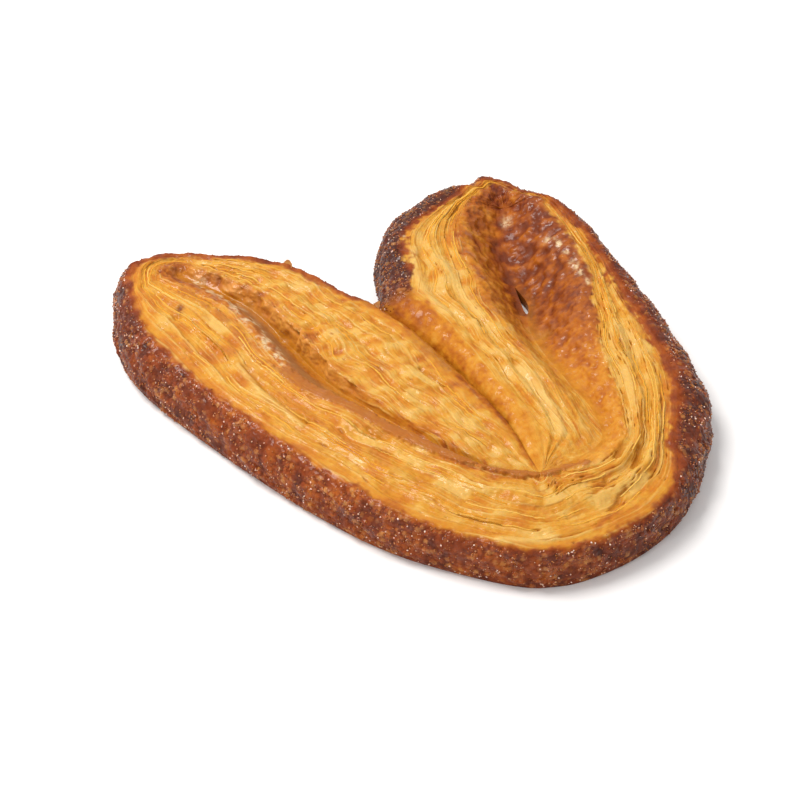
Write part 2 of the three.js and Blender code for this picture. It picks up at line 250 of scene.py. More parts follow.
def cuts(leg):
    """The measures of the cuts across the band at these legs."""
    seam_share = np.minimum(leg, BAND_END - leg)
    on_seam = seam_share < NOTCH - 1e-6
    bottom = fold_bottom(leg)
    seam_line = seam(seam_share)
    edge = np.where(on_seam[:, None], seam_line[:, :2], outline(leg))
    inward = bottom[:, :2] - edge
    width = np.linalg.norm(inward, axis=1)
    inward = inward / np.maximum(width, 1e-6)[:, None]
    spread = np.minimum(1, width / SPREAD_WIDTH)
    room = np.minimum(1, width * EDGE_SHARE / (crust_inset(leg) + crest_offset(leg)))
    return {
        "leg": leg, "on_seam": on_seam, "edge": edge, "inward": inward, "width": width, "spread": spread,
        "inset": crust_inset(leg) * room, "crest": width - crest_offset(leg) * room,
        "rim": mixed(POINT[2], rim_height(leg), spread), "top": mixed(POINT[2], crest_height(leg), spread),
        "bottom": bottom[:, 2], "seam": seam_line[:, 2], "belly": belly_height(leg),
        "foot": FOOT_INSET * smooth(seam_share - NOTCH, 0, FOOT_FADE),
    }


def lump(leg, height):
    return sum(np.sin(leg * along + height * up + start) * size for along, up, start, size in LUMP_WAVES)


def curl(leg, share):
    lift = 0
    for place, middle, length, width, height in CURLS:
        along, across = (leg - place) / length, (share - middle) / width
        profile = smooth(across, -1, CURL_BREAK) - smooth(across, CURL_BREAK, 1)
        lift = lift + height * np.cos(np.clip(along, -1, 1) * math.pi / 2) ** 2 * profile
    return lift


def placed(cut, across, height):
    flat = cut["edge"][:, None] + cut["inward"][:, None] * across[..., None]
    return np.concatenate([flat, height[..., None]], axis=-1)


def crust_surface(cut, share):
    """From the foot, or the seam, over the crust to the rim."""
    one = {name: value[:, None] for name, value in cut.items() if value.ndim == 1}
    turn = share * math.pi / 2
    seam_across = one["inset"] * (1 - np.cos(turn))
    seam_height = mixed(one["seam"], one["rim"], np.sin(turn))
    low = np.clip(share / WALL_SHARE, 0, 1)
    turn = np.clip((share - WALL_SHARE) / (1 - WALL_SHARE), 0, 1) * math.pi / 2
    height = one["belly"] * low + (one["rim"] - one["belly"]) * np.sin(turn)
    across = one["foot"] * (1 - low) ** 2 + one["inset"] * (1 - np.cos(turn))
    across = across - CRUST_BUMP * lump(one["leg"], height) * np.cos(turn) * smooth(low, 0, 1)
    return placed(cut, np.where(one["on_seam"], seam_across, across), np.where(one["on_seam"], seam_height, height))


def band_surface(cut, share):
    """From the rim across the cut layers to the crest."""
    one = {name: value[:, None] for name, value in cut.items() if value.ndim == 1}
    bundle = np.sin((share * LAYER_BUNDLES + one["leg"] * BUNDLE_DRIFT) * math.pi * 2)
    relief = layer_relief(cut["leg"])[:, None] * bundle * np.sin(math.pi * share) + curl(one["leg"], share)
    height = mixed(one["rim"], one["top"], share) + one["spread"] * relief
    return placed(cut, mixed(one["inset"], one["crest"], share), height)


def fold_surface(cut, share):
    """From the crest down to the bottom of the fold."""
    one = {name: value[:, None] for name, value in cut.items() if value.ndim == 1}
    height = mixed(one["bottom"], one["top"], 0.5 + 0.5 * np.cos(math.pi * share))
    return placed(cut, mixed(one["crest"], one["width"], share), height)


def lengths(points):
    """The distance covered along a row of points."""
    steps = np.linalg.norm(np.diff(points, axis=0), axis=-1)
    return np.concatenate([np.zeros((1,) + steps.shape[1:]), np.cumsum(steps, axis=0)])


def even_legs(count):
    """Legs at which cuts across the band stand evenly along its rim and middle."""
    fine = np.linspace(0, BAND_END, 6000)
    cut = cuts(fine)
    lines = band_surface(cut, np.array([[0, 0.5]]))
    covered = lengths(lines).mean(axis=1)
    return np.interp(np.linspace(0, covered[-1], count), covered, fine), covered[-1]




def slit_gap(places):
    """Half the width of the slit at these places: a leaf, fullest near its lower end."""
    start, end = np.array(SLIT["from"]), np.array(SLIT["to"])
    length = np.linalg.norm(end - start)
    reach = np.clip((places - start) @ (end - start) / length ** 2, 0, 1)
    warped = reach ** (math.log(0.5) / math.log(SLIT["fullest"]))
    return SLIT["width"] / 2 * np.sin(math.pi * warped)


def band_grid():
    """The plain folded form as a grid of points: stations along the band by rows across it."""
    legs, covered = even_legs(STATIONS)
    cut = cuts(legs)
    crust = crust_surface(cut, np.linspace(0, 1, CRUST_ROWS, endpoint=False)[None])
    layers = band_surface(cut, np.linspace(0, 1, BAND_ROWS, endpoint=False)[None])
    fold = fold_surface(cut, np.linspace(0, 1, FOLD_ROWS + 1)[None])
    away = smooth(np.linalg.norm(fold[..., :2] - fold[:, -1:, :2], axis=-1), 4, 0)
    gap = SEEN_SLIT * slit_gap(fold[:, -1, :2]) * (cut["leg"] > TIP_RIGHT)
    fold[..., :2] -= cut["inward"][:, None] * (gap[:, None] * away)[..., None]
    return legs, covered, cut, np.concatenate([crust, layers, fold], axis=1) + MIDDLE


legs, band_length, cut, plain = band_grid()
slit_opening = slit_gap(plain[:, -1, :2] - MIDDLE[:2]) * (legs > TIP_RIGHT)
RIM_ROW = CRUST_ROWS
CREST_ROW = CRUST_ROWS + BAND_ROWS
LAST_ROW = CREST_ROW + FOLD_ROWS
MIDDLE_ROW = RIM_ROW + BAND_ROWS // 2
HALF_STATION = int(np.searchsorted(legs, (TIP_LEFT + TIP_RIGHT) / 2))

# Maps of the grid, one value for each point
leg = np.broadcast_to(legs[:, None], plain.shape[:2])
along = np.broadcast_to(np.linspace(0, band_length, STATIONS)[:, None], plain.shape[:2])
covered = lengths(plain.swapaxes(0, 1)).T
from_rim = covered - covered[:, RIM_ROW:RIM_ROW + 1]
from_crest = covered - covered[:, CREST_ROW:CREST_ROW + 1]
from_foot = covered
from_bottom = covered[:, -1:] - covered
share = from_rim / np.maximum(covered[:, CREST_ROW:CREST_ROW + 1] - covered[:, RIM_ROW:RIM_ROW + 1], 1e-6)
seam_share = np.minimum(leg, BAND_END - leg)
inner_side = smooth(NOTCH - seam_share, -0.03, 0.03)
openness = smooth(cut["width"], 0, 9)[:, None]


def facing(points):
    """Which way the surface of a grid faces, evened out a little."""
    lengthwise = np.gradient(points, axis=0)
    crosswise = np.gradient(points, axis=1)
    normal = np.cross(lengthwise, crosswise)
    for axis in (0, 1, 1):
        normal = normal + np.roll(normal, 1, axis) + np.roll(normal, -1, axis)
    return normal / np.maximum(np.linalg.norm(normal, axis=-1, keepdims=True), 1e-9)


# How much of each kind of surface a place has, with ragged edges between them
CRUST_LAP = through([
    [0, 0], [0.6, 0.2], [0.75, 1.4], [1, 2], [1.5, 2.2], [1.85, 1.1], [2.1, 0.1], [3, 0], [3.5, 0.3], [4, 0.8],
    [4.6, 1.6], [5, 2.4], [5.2, 2.1], [5.35, 0.9], [5.5, 0.4], [5.65, 0.7], [5.8, 1.5], [6, 1.2], [6.2, 0.6], [6.5, 0], [7, 0],
])
CARAMEL_SHARE = through([
    [0, 0.1], [0.3, 0.1], [0.4, 0.35], [0.5, 0.9], [1, 1], [2, 1], [2.4, 1], [2.55, 0.75], [2.7, 0.5], [3, 0.5],
    [3.5, 0.35], [3.95, 0.4], [4.15, 0.95], [4.5, 1], [6.3, 1], [6.42, 0.5], [6.55, 0.15], [6.9, 0.1], [7, 0.1],
])
ragged = 1.2 * noise(plain / 7, 13) + 1.3 * rough(plain / 2.8, 11)
right_side = smooth(leg, 3.9, 4.3) * (1 - smooth(leg, 6.2, 6.5))
crustness = 1 - smooth(from_rim - CRUST_LAP(leg) + ragged * mixed(0.8, 1.5, right_side), -0.9, 0.9)
caramel = smooth(from_crest + 1.2 * rough(plain / 2.6, 21), -0.7, 0.9) * CARAMEL_SHARE(leg)
layering = (1 - crustness) * (1 - caramel)


# Cut sheets of dough, seen edge on

def sheet_drift(place, across):
    """How the sheets wander across the band, in shares of its width."""
    slow = 0.06 * noise(plane(place / 26, across * 1.6, 4), 31)
    bunched = 0.07 * noise(plane(place / 15, across * 3.4, 9), 32)
    quick = 0.010 * noise(plane(place / 5, across * 9, 12), 33) + 0.003 * noise(plane(place / 2, across * 22, 13), 34)
    return slow + bunched + quick


# The sheets of the inner legs break up sooner along their run
PACE = through([[0, 1.5], [0.9, 1.8], [1.2, 1.1], [2, 1], [6, 1], [6.4, 1.3], [7, 1.3]])
run_place = np.broadcast_to(np.cumsum(PACE(legs) * np.gradient(along[:, 0]))[:, None], plain.shape[:2])
drift = sheet_drift(run_place, share)


def creases(count, run, seed):
    """Stacked sheets: each one's own height and slant, its creases and its upper edge."""
    place = wave * count
    cell = np.floor(place)
    inside = place - cell
    own = noise(plane(run_place / run, cell * 7.31, seed), seed)
    crease = np.minimum(inside, 1 - inside)
    slant = noise(plane(run_place / (run * 0.7), cell * 5.17, seed + 3), seed + 3) * (inside - 0.5)
    slant = slant * (1 - np.exp(-(crease / (0.07 + 0.004 * count)) ** 2))
    line = np.round(place)
    broken = smooth(noise(plane(run_place / (run * 0.5), line * 3.7, seed + 1), seed + 1), -0.2, 0.4)
    edge = np.exp(-((inside - 0.86) / 0.1) ** 2) * smooth(own, -0.3, 0.4)
    return own, slant, crease, broken, edge, line


def cleft(crease, broken, reach):
    return np.exp(-(crease / reach) ** 2) * broken


# Close to the point, the inner legs' sheets run straight on and end against the tip's crest

def straight_on(station, step):
    """The share of the width at one station, carried on in a straight line from there."""
    flow = (plain[station] - plain[station + step])[RIM_ROW:, :2].mean(axis=0)
    sideways = np.array([-flow[1], flow[0]]) / np.linalg.norm(flow)
    place = plain[..., :2] @ sideways
    known = place[station, RIM_ROW:]
    order = np.argsort(known)
    return np.interp(place, known[order], share[station, RIM_ROW:][order])


near_right = straight_on(int(np.searchsorted(legs, 6.76)), -60)
near_left = straight_on(int(np.searchsorted(legs, 0.28)), 60)
flow_share = mixed(share, near_right, smooth(leg, 6.7, 6.82))
flow_share = mixed(flow_share, near_left, 1 - smooth(leg, 0.18, 0.32))
wave = flow_share + drift
band_width = covered[:, CREST_ROW:CREST_ROW + 1] - covered[:, RIM_ROW:RIM_ROW + 1]
narrow = np.clip(band_width / 14, 0.35, 1)
thick_own, thick_slant, thick_crease, thick_broken, thick_edge, thick_line = creases(8, 17, 51)
thin_own, thin_slant, thin_crease, thin_broken, thin_edge, thin_line = creases(19, 11, 61)
fine_own, fine_slant, fine_crease, fine_broken, fine_edge, fine_line = creases(41, 7, 71)
thick_cleft = cleft(thick_crease, thick_broken, 0.08)
thin_cleft = cleft(thin_crease, thin_broken, 0.1)
fine_cleft = cleft(fine_crease, fine_broken, 0.17)

# Where a sheet lies on its side it shows a broad smooth face; elsewhere the thin ones stand close
calm = smooth(noise(plane(run_place / 12, np.floor(wave * 8) * 3.3, 2), 41), 0.05, 0.35)
calm = calm * smooth(from_rim, 1.5, 4) * smooth(-from_crest, 0.5, 2.5)
busy = (1 - 0.85 * calm) * (0.35 + 0.65 * smooth(from_rim, 0.8, 3.2))


holed = smooth(leg, 3.6, 3.95) * (1 - smooth(leg, 4.6, 4.9))     # the right outer leg has more holes


def pore_map(line, crease, length, reach, seed):
    """Lens-shaped holes strung along the creases."""
    run = noise(plane(run_place / length, line * 5.3, seed), seed)
    here = smooth(noise(plane(run_place / 15, share * 3, seed), seed + 1) + 0.4 * holed, -0.1, 0.45)
    opened = smooth(run + 0.12 * holed, 0.15, 0.7)
    return opened * np.exp(-(crease / (reach * (0.3 + 0.7 * opened))) ** 2) * here


pores = pore_map(thick_line, thick_crease, 3.6, 0.12, 81) + busy * pore_map(thin_line, thin_crease, 3.0, 0.22, 85)
pores = np.clip(pores, 0, 1)

swells = noise(plane(run_place / 8, share * 3.6, 3), 89)
scaly = 1 - smooth(leg, 0.85, 1.1) + 0.6 * smooth(leg, 6.2, 6.4) * (1 - smooth(leg, 6.75, 6.85))
scales = noise(plane(run_place / 5, wave * 7, 14), 97) * scaly
layer_lift = 0.45 * swells + 0.32 * scales + 0.26 * thick_own + 0.6 * thick_slant + 0.12 * thick_edge - 0.1 * thick_cleft
layer_lift = layer_lift + busy * (0.12 * thin_own + 0.3 * thin_slant + 0.1 * thin_edge - 0.08 * thin_cleft)
layer_lift = layer_lift + busy * (0.05 * fine_own + 0.14 * fine_slant - 0.05 * fine_cleft)
layer_lift = layer_lift * narrow - 0.55 * pores + 0.24 * rough(plain / 2.4, 91, 2) + 0.08 * noise(plain / 0.8, 95)
layer_lift = layer_lift * (0.3 + 0.7 * smooth(from_rim, 0.3, 3))

# Crust: lumps, blisters and grains of baked sugar
grains, grain_own = pebbles(plain / 1.15, 101)
lumps = noise(plain / 3.9, 121)
sugared = smooth(noise(plain / 5.5, 131), -0.6, 0.3)
grained = (0.4 + 0.6 * sugared) * smooth(-from_rim, 0, 1.6) * (1 - inner_side)
crust_lift = 0.34 * lumps + 0.22 * noise(plain / 1.7, 141) + 0.14 * noise(plain / 0.8, 145)
crust_lift = crust_lift + 0.55 * (grains - 0.6) * grained * (0.5 + grain_own)
crust_lift = crust_lift * mixed(1, 0.5, inner_side)

# Caramel slopes: glossy bumps, and wrinkles across the right fold
bumps = noise(plain / 2.7, 151)
fine_bumps = noise(plain / 1.15, 161)
eye = smooth(leg, 4.5, 4.85) * (1 - smooth(leg, 6.4, 6.65))
wrinkles = noise(plane(along / 1.6, from_crest / 5, 6), 171)
fold_lift = 0.5 * bumps + 0.26 * fine_bumps + 0.36 * eye * wrinkles + 0.14 * noise(plain / 0.7, 175)
inner_wall = smooth(leg, 0.3, 0.45) * (1 - smooth(leg, 0.95, 1.05))
wall_lumps = noise(plane(along / 3.4, from_crest / 6, 8), 177)
fold_lift = fold_lift + 1.15 * inner_wall * wall_lumps

# Single marks of this one palmier, each along a line of [x, y] places

def stroke(line, half_width, torn=0.35, crisp=False):
    """1 along a line on the top, fading to 0 beside it, with a torn edge; a crisp one is even across."""
    places = plain[..., :2]
    nearest = np.full(places.shape[:-1], 1e9)
    for start, end in zip(line[:-1], line[1:]):
        start, end = np.array(start, float), np.array(end, float)
        reach = np.clip(((places - start) @ (end - start)) / max((end - start) @ (end - start), 1e-9), 0, 1)
        nearest = np.minimum(nearest, np.linalg.norm(places - start - reach[..., None] * (end - start), axis=-1))
    nearest = nearest + torn * half_width * torn_edge
    if crisp:
        return smooth(nearest, half_width + 0.35, half_width - 0.35)
    return np.exp(-(np.maximum(nearest, 0) / half_width) ** 2)


def spot(x, y, radius, torn=0.35):
    return stroke([[x, y], [x, y]], radius, torn)


torn_edge = noise(plain / 1.4, 301) + 0.6 * noise(plain / 0.6, 302)
BROWN_RIDGE = [
    [-36.8, 12], [-34.2, 3], [-29.2, -5.2], [-25.4, -14.3], [-21.7, -22.9], [-18.7, -27.9], [-14.4, -34.8],
    [-9.6, -40], [-5.4, -44.4], [-2, -47.8], [2.8, -49.4], [8.3, -48.6], [13, -50.4],
]
BROWN_EDGE = [[-45.6, 54.8], [-42.2, 46.5], [-40.8, 38.1], [-40.3, 27.2], [-39.8, 19], [-36.8, 9]]
edge_line = stroke(BROWN_EDGE, 0.9, 0.9, True) * smooth(noise(plain / 3.1, 303), -0.5, 0.1)
ridge = np.maximum(stroke(BROWN_RIDGE, 1.5, 0.45, True), 0.75 * edge_line)
CURLED_EDGE = [[-45.6, 20], [-45.2, 8], [-41.5, -7.4]]
PALE_STRIP = [[-18.2, -63.4], [-12, -67], [-6.2, -68.6]]
curled = np.maximum(stroke(CURLED_EDGE, 0.7), stroke(PALE_STRIP, 1.1))
hollow = stroke([[-44, 19], [-43.4, 8], [-39.8, -7]], 0.8) + stroke([[-28, -17], [-25.6, -21.5]], 1.0)
hollow = hollow + spot(-50.8, 45.4, 1.1) + stroke([[-4.9, -1], [-3, -9]], 0.6)
ledges = stroke([[21, -51.8], [24.6, -49]], 0.9) + stroke([[23.5, -56.5], [28, -51.5]], 0.8)
ledges = ledges + stroke([[9.5, -60.2], [14.5, -57.8]], 0.8) + stroke([[11, -66], [17, -62.5]], 0.7)
PALE_SHEETS = [
    [[17.4, 43.5], [12.6, 36], [11, 27], [11.6, 15]], [[17.4, -12], [16.8, -26], [14.4, -38]],
    [[20.6, 34], [18.8, 22], [18.6, 10]],
]
pale_sheet = sum(stroke(line, 1.3) for line in PALE_SHEETS)
RESIDUE = [[-40, 58.6], [-36.6, 52], [-35.2, 43], [-34.8, 36], [-35.2, 25], [-34.6, 16.5]]
EYE_RESIDUE = [[52, 33], [53.4, 27.3], [51.6, 16], [49.8, 7.8]]
broken_up = smooth(noise(plain / 2.6, 311), -0.15, 0.25)
residue = np.clip(1.6 * stroke(RESIDUE, 2.0, 0.6) + stroke(EYE_RESIDUE, 0.8, 0.6) + spot(48.8, 48.5, 1.5), 0, 1)
residue = np.maximum(residue * broken_up, 0.8 * spot(17.3, 49.6, 0.45, 0.1))
ashy = np.clip(1.3 * stroke([[-33.4, 45], [-32, 36], [-31.6, 24], [-31.4, 12], [-28.6, 3]], 2.4, 0.2), 0, 1)
burn = spot(-48.9, 48, 0.9) + 0.7 * spot(-49.6, 46.4, 0.7) + 0.8 * spot(-3.1, -71.9, 0.35, 0.1)
pools = stroke([[-0.6, 10], [1, 2], [1.8, -4]], 1.8) + spot(7.4, -46.3, 1.6) + spot(33.5, 3.9, 2.0)
pools = np.clip(pools + 0.8 * stroke([[-28.4, 34], [-27.4, 19]], 0.9), 0, 1)
orange = spot(-16.1, 3, 3.2) + stroke([[12.1, -57.5], [18, -55]], 1.0) + stroke([[4, -70.4], [11, -67.4]], 0.9)
marks_lift = 0.7 * ridge + 0.5 * curled - 0.8 * hollow - 0.7 * ledges + 0.35 * pale_sheet - 0.5 * burn - 0.3 * pools

# The lines that two sides of the band share move the same way on both sides
seam_hold = mixed(1, smooth(from_foot, 0, 1.6), inner_side)
foot_hold = mixed(smooth(from_foot, 0, 1.5), 1, inner_side)
bottom_hold = smooth(from_bottom, 0, 1.8)
hold = seam_hold * foot_hold * bottom_hold
shared_line = 0.25 * noise(plain / 4.5, 181) * (1 - hold) * smooth(plain[..., 2], 1, 3)

layer_lift = layer_lift * (1 - 0.6 * np.clip(pale_sheet + ridge, 0, 1))
lift = crust_lift * crustness + layer_lift * layering + fold_lift * caramel * (1 - 0.7 * ashy) + marks_lift
normal = facing(plain)
surface = plain + normal * (lift * hold * openness)[..., None]
surface[..., 2] += shared_line * openness
surface[..., 2] = np.maximum(surface[..., 2], 0)
surface[..., 2] -= 0.5 * np.maximum(surface[..., 2] - HIGHEST, 0)


# Colours, as linear light

def ramp(value, stops):
    """A colour through stops of [value, red, green, blue]."""
    stops = np.array(stops)
    return np.stack([np.interp(value, stops[:, 0], stops[:, channel]) for channel in (1, 2, 3)], axis=-1)


def tint(base, colour, amount):
    return base + (np.array(colour) - base) * np.clip(amount, 0, 1)[..., None]


DOUGH = [
    [0.0, 0.70, 0.40, 0.085], [0.2, 0.65, 0.305, 0.030], [0.4, 0.61, 0.24, 0.014],
    [0.6, 0.54, 0.17, 0.009], [0.8, 0.38, 0.095, 0.008], [1.0, 0.21, 0.05, 0.009],
]
CRUST = [
    [0.0, 0.46, 0.135, 0.011], [0.25, 0.34, 0.072, 0.006], [0.5, 0.22, 0.037, 0.005],
    [0.75, 0.125, 0.022, 0.006], [1.0, 0.065, 0.014, 0.007],
]
CARAMEL = [
    [0.0, 0.68, 0.32, 0.04], [0.3, 0.58, 0.21, 0.012], [0.55, 0.43, 0.115, 0.007],
    [0.8, 0.24, 0.05, 0.006], [1.0, 0.11, 0.022, 0.006],
]
# Amber and deep amber are caramel colours and also painted shade in recesses; line brown is painted shade in the
# creases between sheets.
AMBER = (0.52, 0.20, 0.006)
LINE_BROWN = (0.47, 0.17, 0.02)
DEEP_AMBER = (0.40, 0.125, 0.004)
# Cream is paler dough, and on the sheets' upper edges a painted highlight.
CREAM = (0.73, 0.46, 0.125)
RIDGE_BROWN = (0.41, 0.125, 0.012)
RESIDUE_WHITE = (0.72, 0.52, 0.29)
ASHY = (0.39, 0.17, 0.055)
# A painted sheen on the left fold's inner wall.
LUMP_SHEEN_ORANGE = (0.70, 0.29, 0.06)
BURNT = (0.20, 0.05, 0.012)
SUGAR_TAN = (0.52, 0.23, 0.06)
FLAKE_TAN = (0.34, 0.17, 0.06)
ALL_OVER = 0.84

RIM_TOAST = through([
    [0, 0.42], [0.3, 0.5], [0.7, 0.5], [1, 0.5], [1.5, 0.5], [2, 0.55], [3, 0.46], [3.5, 0.45],
    [4, 0.5], [4.5, 0.5], [5, 0.55], [6, 0.5], [6.2, 0.3], [6.5, 0.25], [7, 0.3],
])
BAND_TOAST = through([
    [0, 0.2], [0.4, 0.27], [0.8, 0.3], [1, 0.38], [1.5, 0.38], [2, 0.46], [2.5, 0.42], [3, 0.3], [3.5, 0.24],
    [4, 0.22], [4.5, 0.15], [5, 0.3], [5.5, 0.35], [6, 0.3], [6.5, 0.16], [7, 0.2],
])
CREST_TOAST = through([
    [0, 0.3], [0.3, 0.5], [0.7, 0.55], [1, 0.55], [1.5, 0.65], [2, 0.55], [2.5, 0.5], [3, 0.65],
    [3.6, 0.6], [3.9, 0.3], [4.2, 0.2], [4.5, 0.12], [4.9, 0.2], [5.3, 0.45], [6, 0.62], [6.3, 0.58],
    [6.6, 0.35], [7, 0.35],
])
FOLD_TOAST = through([
    [0, 0.26], [0.4, 0.24], [0.6, 0.27], [0.85, 0.34], [1, 0.55], [2, 0.62], [2.5, 0.5], [3, 0.5], [4, 0.24],
    [4.4, 0.38],
    [4.55, 0.66], [4.8, 0.78], [5, 0.8], [5.5, 0.8], [5.9, 0.62], [6.1, 0.52], [6.3, 0.46], [6.6, 0.36], [7, 0.26],
])
WALL_TOAST = through([
    [NOTCH, 0.7], [0.9, 0.75], [1.3, 0.85], [1.8, 0.85], [2.05, 0.86], [2.2, 0.72], [2.5, 0.54], [3, 0.5],
    [3.5, 0.6], [4, 0.8], [4.5, 0.74], [5, 0.78], [5.6, 0.88], [6.05, 1.05], [6.2, 1.05], [BAND_END - NOTCH, 0.85],
])

facet_tone = noise(plane(run_place / 7, np.floor(wave * 8) * 4.1, 5), 203)
thin_tone = noise(plane(run_place / 5, np.floor(wave * 19) * 6.3, 6), 205)
streaks = 0.42 * facet_tone + busy * (0.22 * thin_tone + 0.12 * fine_own)
lap_zone = smooth(leg, 3.8, 4.2) * (1 - smooth(leg, 5.4, 5.8)) * smooth(from_rim - CRUST_LAP(leg), 4.5, 0.5)
right_lap = 0.3 * lap_zone * smooth(noise(plain / 2.8, 207), -0.4, 0.3)
patches = noise(plane(run_place / 9, share * 3, 7), 201)
side = np.clip(np.abs(share * 2 - 1), 0, 1)
toast = np.where(
    share < 0.5, mixed(BAND_TOAST(leg), RIM_TOAST(leg), side ** 2), mixed(BAND_TOAST(leg), CREST_TOAST(leg), side ** 3),
)
# Painted light and shade: the cut layers are painted lighter where they stand up, on raised sheets and scales, and
# darker where they sink, following the relief.
height = np.clip(layer_lift, -0.8, 0.8)
toast = toast + streaks + 0.24 * patches - 0.26 * calm - 0.28 * height + 0.12 * noise(plain / 0.9, 211)
toast = toast + 0.45 * np.clip(orange, 0, 1) + right_lap - 0.2 * scales
toast = toast + 0.16 * stroke(BROWN_RIDGE, 2.8) - 0.16 * spot(POINT[0], POINT[1], 6)
toast = toast - 0.6 * np.maximum(toast - 0.56, 0) * (1 - side ** 2)
dough = ramp(toast, DOUGH)
# Cream on the sheets' upper edges is a painted highlight; the pale sheets and curled edges are paler dough.
dough = tint(dough, CREAM, 0.65 * thick_edge + 0.6 * busy * thin_edge + 0.75 * pale_sheet + 0.7 * curled)
# Painted shade: the creases between sheets are painted brown and amber, and the pores, hollows and ledges amber and
# deep amber, as shade in these recesses.
line_brown = smooth(noise(plane(run_place / 8, thin_line * 2.7, 8), 209), -0.1, 0.4)
dough = tint(dough, LINE_BROWN, (0.6 * thick_cleft + 0.55 * busy * thin_cleft) * line_brown)
dough = tint(dough, AMBER, (0.7 * thick_cleft + 0.6 * busy * thin_cleft) * (1 - line_brown) + 0.3 * busy * fine_cleft)
dough = tint(dough, AMBER, 0.7 * hollow + 0.8 * ledges)
dough = tint(dough, DEEP_AMBER, 0.75 * pores + 0.4 * ledges)

wall = WALL_TOAST(leg) * (0.4 + 0.6 * smooth(-from_rim, -1, 3.0)) + 0.34 * noise(plain / 4.3, 221)
# Painted shade: the crust is darker in the creases between sugar grains; each grain also gets a random tone of its own.
wall = wall + 0.16 * noise(plain / 1.9, 231) + (0.4 * (0.62 - grains) + 0.32 * (0.5 - grain_own)) * grained
crust = ramp(wall, CRUST)
crust = tint(crust, SUGAR_TAN, 0.55 * smooth(grain_own, 0.8, 0.95) * smooth(grains, 0.35, 0.8) * grained)

wall_crest = inner_wall * np.exp(-((from_crest - 0.2) / 0.9) ** 2)
bottom_toast = np.interp(plain[..., 1], [-40, -8, 6, 16, 40, 56], [0.3, 0.42, 0.6, 0.85, 0.85, 0.6])
in_depth = smooth(from_bottom, 6, 0.5) * smooth(leg, 3.9, 4.2)
# Painted light: the caramel slopes are painted lighter on the tops of their bumps, lumps and wrinkles.
slope = mixed(FOLD_TOAST(leg), bottom_toast, in_depth) + mixed(0.2, 0.3, eye) * noise(plain / 3.3, 241) - 0.14 * bumps + 0.18 * wall_crest - 0.42 * inner_wall * wall_lumps
slope = slope + (0.12 * noise(plain / 1.2, 251) - 0.12 * fine_bumps) * (1 - 0.65 * np.maximum(inner_wall, smooth(leg, 5.7, 5.95)))
slope = np.minimum(slope - eye * 0.12 * wrinkles, 0.9)
syrup = ramp(slope, CARAMEL)
# Painted sheen: the left fold's inner wall is painted bright orange, most of all on its lumps.
syrup = tint(syrup, LUMP_SHEEN_ORANGE, (0.5 + 0.6 * wall_lumps) * inner_wall * smooth(from_bottom, 0.5, 2))
# Painted shade: outside the right fold's eye, the folds are painted amber towards their bottom, in the valley.
syrup = tint(syrup, AMBER, smooth(from_bottom, mixed(4, 1.6, inner_wall), 0) * (1 - eye) * 0.6)
syrup = tint(syrup, ASHY, 0.85 * ashy)

seam_toast = np.interp(leg, [6.3, 6.4, 6.6, 7], [0.55, 0.42, 0.32, 0.2]) - 0.15 * smooth(-from_rim, 1.5, 0)
seam_slope = ramp(seam_toast + 0.24 * noise(plain / 3.3, 261) + 0.2 * noise(plain / 1.3, 271), CARAMEL)
crust = crust + (seam_slope - crust) * inner_side[..., None]

tone = dough * layering[..., None] + crust * (crustness * (1 - caramel))[..., None]
tone = tone + syrup * caramel[..., None]
tone = tint(tone, RIDGE_BROWN, ridge * (0.9 + 0.35 * noise(plane(along / 6, from_crest * 2, 4), 331) + 0.3 * noise(plain / 1.1, 332)))
tone = tint(tone, AMBER, 0.8 * pools)
tone = tint(tone, DEEP_AMBER, 0.7 * pools * smooth(noise(plain / 2.2, 334), -0.3, 0.3))
tone = tint(tone, RESIDUE_WHITE, 0.9 * residue * smooth(noise(plain / 0.5, 313), -0.45, 0.0))
tone = tint(tone, BURNT, burn) * ALL_OVER
shiny = smooth(noise(plain / 2.4, 281), -0.1, 0.5)
crust_gloss = 0.1 + 0.35 * shiny + 0.6 * smooth(grains, 0.5, 0.85) * grained
crust_gloss = crust_gloss * (0.35 + 0.65 * smooth(plain[..., 2], 1, 8))
gloss = (0.2 + 0.5 * shiny + 0.3 * calm) * layering + crustness * mixed(crust_gloss, 0.1 + 0.5 * shiny, inner_side)
gloss = gloss + caramel * (0.2 + 0.7 * shiny + 0.45 * inner_wall) * (1 - 0.8 * ashy) * (1 - 0.6 * in_depth)
gloss = np.clip(gloss + 0.6 * pools, 0, 1)


# Meshes

def attribute(mesh, name, kind, values):
    """Stores one value for each corner point of the mesh."""
    layer = mesh.attributes.new(name, kind, "POINT")
    if kind == "FLOAT_COLOR":
        values = np.concatenate([values, np.ones(values.shape[:-1] + (1,))], axis=-1)
        layer.data.foreach_set("color", values.astype(np.float32).ravel())
    else:
        layer.data.foreach_set("value", values.astype(np.float32).ravel())


def mesh_of(name, points, faces, maps):
    """A mesh object from points in millimetres, with its maps as attributes."""
    mesh = bpy.data.meshes.new(name)
    mesh.from_pydata((points * MM).tolist(), [], faces)
    for map_name, (kind, values) in maps.items():
        attribute(mesh, map_name, kind, values)
    mesh.update()
    made = bpy.data.objects.new(name, mesh)
    bpy.context.scene.collection.objects.link(made)
    return made


def cleaned(made):
    """Closes seams, drops faces without area and shades the piece smooth."""
    import bmesh
    work = bmesh.new()
    work.from_mesh(made.data)
    bmesh.ops.remove_doubles(work, verts=work.verts, dist=0.004 * MM)
    bmesh.ops.dissolve_degenerate(work, edges=work.edges, dist=0.002 * MM)
    bmesh.ops.recalc_face_normals(work, faces=work.faces)
    work.to_mesh(made.data)
    work.free()
    made.data.polygons.foreach_set("use_smooth", np.ones(len(made.data.polygons), bool))
    made.data.set_sharp_from_angle(angle=math.radians(SHARP_TURN))
    made.data.update()
    return made


FLOOR_OF_PIECES = 0.3
SHARP_TURN = 75


